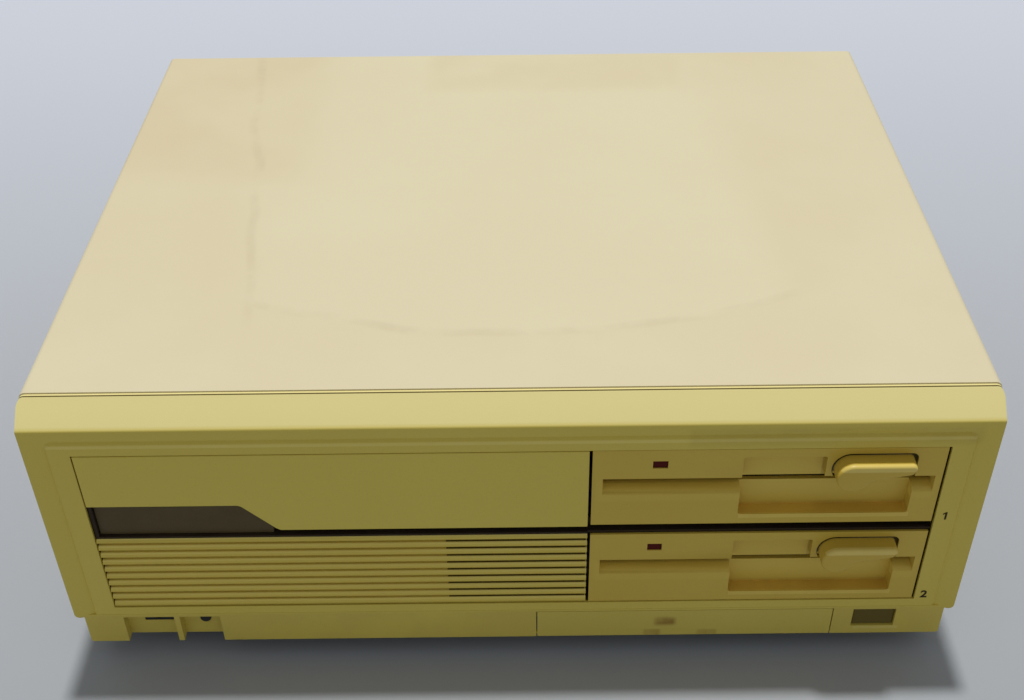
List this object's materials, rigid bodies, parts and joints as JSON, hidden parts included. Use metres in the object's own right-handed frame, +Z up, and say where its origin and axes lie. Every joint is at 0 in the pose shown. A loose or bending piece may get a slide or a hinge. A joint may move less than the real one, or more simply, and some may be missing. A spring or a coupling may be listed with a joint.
{
  "type": "desktop home computer",
  "caption": "Beige desktop home computer: steel cover, sloped moulded bezel, ribbed speaker panel, diskette drives with turning levers, hinged switch cover and rear expansion slots.",
  "frame": {"origin": "middle of the bounding box, at the soles of the feet", "axes": "+X to the right seen from the front, +Y towards the back, +Z up"},
  "size_m": [0.398, 0.333, 0.15],
  "materials": {
    "cover_paint": "matt",
    "rear_paint": "matt",
    "chassis_steel": "satin",
    "bezel_plastic": "satin",
    "upper_panel_plastic": "satin",
    "ribbed_panel_plastic": "satin",
    "flap_plastic": "satin",
    "smoked_window": "gloss",
    "dark_strip": "satin",
    "lamp_red": "gloss",
    "power_key": "satin",
    "black_plastic": "satin",
    "socket_plastic": "satin",
    "foot_rubber": "matt",
    "screw_steel": "satin",
    "board": "satin",
    "chips": "satin",
    "slide_switches": "gloss",
    "supply_board": "satin",
    "fan_plastic": "satin",
    "port_shell": "satin",
    "speaker_paper": "matt",
    "ribbon": "matt",
    "drive_plastic": "satin",
    "lever_plastic": "satin",
    "drive_steel": "satin",
    "drive_casting": "satin",
    "cone_plastic": "satin",
    "rotor_metal": "satin",
    "carriage_plastic": "satin",
    "motor_steel": "satin"
  },
  "bodies": {
    "case": {"top_cover": "cover_paint", "base_chassis": "chassis_steel", "rear_panel": "rear_paint", "front_plate": "chassis_steel", "front_bezel": "bezel_plastic", "upper_front_panel": "upper_panel_plastic", "ribbed_front_panel": "ribbed_panel_plastic", "indicator_window": "smoked_window", "divider_strip": "dark_strip", "indicator_lamps": "lamp_red", "panel_switches": "black_plastic", "keyboard_socket": "socket_plastic", "rubber_feet": "foot_rubber", "cover_screws": "screw_steel", "panel_screws": "screw_steel", "slot_covers": "chassis_steel", "card_cage": "chassis_steel", "card_guides": "black_plastic", "expansion_backplane": "board", "main_board": "board", "main_board_chips": "chips", "dip_switches": "slide_switches", "power_supply_case": "chassis_steel", "power_supply_board": "supply_board", "fan_frame": "fan_plastic", "ac_sockets": "socket_plastic", "rear_connectors": "port_shell", "speaker": "speaker_paper", "drive_cage": "chassis_steel", "drive_ribbon_cable": "ribbon", "drive_1_face": "drive_plastic", "drive_1_frame": "drive_casting", "drive_1_motor_board": "board", "drive_1_rails": "drive_steel", "drive_1_stepper": "motor_steel", "drive_1_logic_board": "board", "drive_2_face": "drive_plastic", "drive_2_frame": "drive_casting", "drive_2_motor_board": "board", "drive_2_rails": "drive_steel", "drive_2_stepper": "motor_steel", "drive_2_logic_board": "board"},
    "flap": {"switch_cover": "flap_plastic"},
    "power_key": {"power_button": "power_key"},
    "reset_key": {"reset_button": "black_plastic"},
    "fan": {"fan_rotor": "fan_plastic"},
    "lever_1": {"drive_1_lever": "lever_plastic", "drive_1_lever_shaft": "drive_steel"},
    "clamp_1": {"drive_1_clamp_arm": "drive_steel", "drive_1_hub_cone": "cone_plastic"},
    "spindle_1": {"drive_1_spindle": "rotor_metal"},
    "carriage_1": {"drive_1_head_carriage": "carriage_plastic"},
    "screw_1": {"drive_1_lead_screw": "drive_steel"},
    "lever_2": {"drive_2_lever": "lever_plastic", "drive_2_lever_shaft": "drive_steel"},
    "clamp_2": {"drive_2_clamp_arm": "drive_steel", "drive_2_hub_cone": "cone_plastic"},
    "spindle_2": {"drive_2_spindle": "rotor_metal"},
    "carriage_2": {"drive_2_head_carriage": "carriage_plastic"},
    "screw_2": {"drive_2_lead_screw": "drive_steel"}
  },
  "joints": [
    {"name": "fan_spin", "type": "hinge", "parent": "case", "child": "fan", "pos_m": [0.144, 0.1395, 0.078], "axis": [0, 1, 0], "continuous": true},
    {"name": "flap_hinge", "type": "hinge", "parent": "case", "child": "flap", "pos_m": [0.07775, -0.1575, 0.0136], "axis": [1, 0, 0], "range_deg": [0, 90]},
    {"name": "power_press", "type": "slide", "parent": "case", "child": "power_key", "axis": [0, 1, 0], "range_m": [0, 0.003], "stiffness_N_per_m": 250},
    {"name": "reset_press", "type": "slide", "parent": "case", "child": "reset_key", "axis": [0, 1, 0], "range_m": [0, 0.0015], "stiffness_N_per_m": 200},
    {"name": "lever_1_turn", "type": "hinge", "parent": "case", "child": "lever_1", "pos_m": [0.1405, -0.1585, 0.114], "axis": [0, 1, 0], "range_deg": [0, 90]},
    {"name": "clamp_1_swing", "type": "hinge", "parent": "case", "child": "clamp_1", "pos_m": [0.1065, -0.0085, 0.11075], "axis": [1, 0, 0], "range_deg": [0, 3.1]},
    {"name": "spindle_1_spin", "type": "hinge", "parent": "case", "child": "spindle_1", "pos_m": [0.1065, -0.0865, 0.093], "axis": [0, 0, 1], "continuous": true},
    {"name": "carriage_1_slide", "type": "slide", "parent": "case", "child": "carriage_1", "axis": [0, -1, 0], "range_m": [0, 0.021]},
    {"name": "screw_1_turn", "type": "hinge", "parent": "case", "child": "screw_1", "pos_m": [0.1335, 0.0015, 0.103], "axis": [0, 1, 0], "range_deg": [0, 1195]},
    {"name": "lever_2_turn", "type": "hinge", "parent": "case", "child": "lever_2", "pos_m": [0.1405, -0.1585, 0.066], "axis": [0, 1, 0], "range_deg": [0, 90]},
    {"name": "clamp_2_swing", "type": "hinge", "parent": "case", "child": "clamp_2", "pos_m": [0.1065, -0.0085, 0.06275], "axis": [1, 0, 0], "range_deg": [0, 3.1]},
    {"name": "spindle_2_spin", "type": "hinge", "parent": "case", "child": "spindle_2", "pos_m": [0.1065, -0.0865, 0.045], "axis": [0, 0, 1], "continuous": true},
    {"name": "carriage_2_slide", "type": "slide", "parent": "case", "child": "carriage_2", "axis": [0, -1, 0], "range_m": [0, 0.021]},
    {"name": "screw_2_turn", "type": "hinge", "parent": "case", "child": "screw_2", "pos_m": [0.1335, 0.0015, 0.055], "axis": [0, 1, 0], "range_deg": [0, 1195]}
  ],
  "couplings": [
    {"joint": "clamp_1_swing", "follows": "lever_1_turn", "ratio": 0.033667},
    {"joint": "screw_1_turn", "follows": "carriage_1_slide", "rad_per_m": 989.47},
    {"joint": "clamp_2_swing", "follows": "lever_2_turn", "ratio": 0.033667},
    {"joint": "screw_2_turn", "follows": "carriage_2_slide", "rad_per_m": 989.47}
  ]
}
